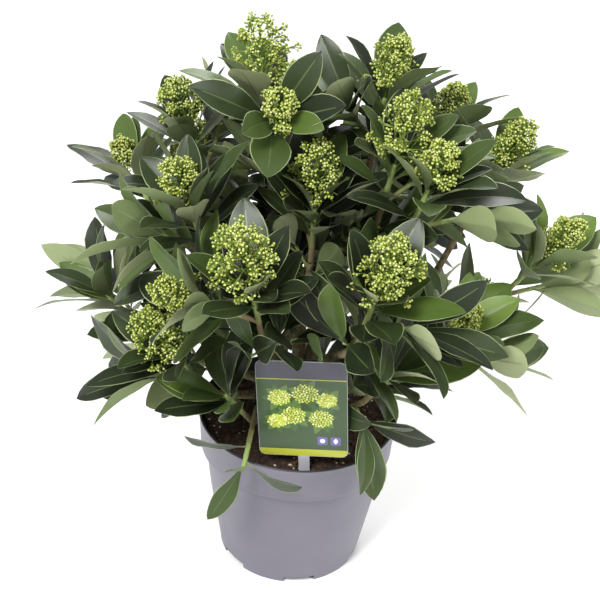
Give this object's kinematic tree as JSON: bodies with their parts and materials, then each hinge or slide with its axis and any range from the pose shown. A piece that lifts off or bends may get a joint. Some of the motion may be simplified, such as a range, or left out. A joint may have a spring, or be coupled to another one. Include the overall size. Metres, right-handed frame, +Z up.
{
  "type": "potted skimmia shrub",
  "caption": "Evergreen skimmia shrub in flower bud, with whorled oval leaves under cone-shaped panicles, in a round plastic nursery pot with a picture label.",
  "frame": {"origin": "centre of the pot's flat underside", "axes": "+Z up, -Y towards the front, where the label stands, +X to the right as the front is seen"},
  "size_m": [0.5756, 0.4585, 0.5878],
  "materials": {
    "pot": "matte lilac-grey outside, black inside",
    "growing_mix": "damp bark and peat with white crumbs",
    "label": "glossy printed plastic",
    "bark": "rough green-brown bark",
    "foliage": "waxy dark green leaves, lime-green buds"
  },
  "bodies": {
    "root": {"pot": "pot", "growing_mix": "growing_mix", "label": "label", "stem_foot": "bark", "bough_front_left": "bark", "bough_front_right": "bark", "bough_top_left": "bark", "bough_top_right": "bark", "bough_left": "bark", "bough_right": "bark", "bough_back": "bark", "bough_low_front_left": "bark", "bough_low_front_right": "bark", "bough_low_left": "bark", "bough_centre": "bark", "bough_left_middle": "bark", "bough_upper_left": "bark", "bough_left_rear": "bark", "bough_upper_right": "bark", "bough_right_middle": "bark", "bough_right_rear": "bark", "bough_high_right": "bark", "bough_low_right": "bark", "bough_top_rear": "bark", "bough_back_left": "bark", "bough_back_right": "bark", "bough_low_back_left": "bark", "bough_low_back_right": "bark", "bough_low_right_rear": "bark", "bough_skirt": "bark", "foliage_front_left": "foliage", "foliage_front_right": "foliage", "foliage_top_left": "foliage", "foliage_top_right": "foliage", "foliage_left": "foliage", "foliage_right": "foliage", "foliage_back": "foliage", "foliage_low_front_left": "foliage", "foliage_low_front_right": "foliage", "foliage_low_left": "foliage", "foliage_centre": "foliage", "foliage_left_middle": "foliage", "foliage_upper_left": "foliage", "foliage_left_rear": "foliage", "foliage_upper_right": "foliage", "foliage_right_middle": "foliage", "foliage_right_rear": "foliage", "foliage_high_right": "foliage", "foliage_low_right": "foliage", "foliage_top_rear": "foliage", "foliage_back_left": "foliage", "foliage_back_right": "foliage", "foliage_low_back_left": "foliage", "foliage_low_back_right": "foliage", "foliage_low_right_rear": "foliage", "foliage_skirt": "foliage"}
  },
  "joints": []
}
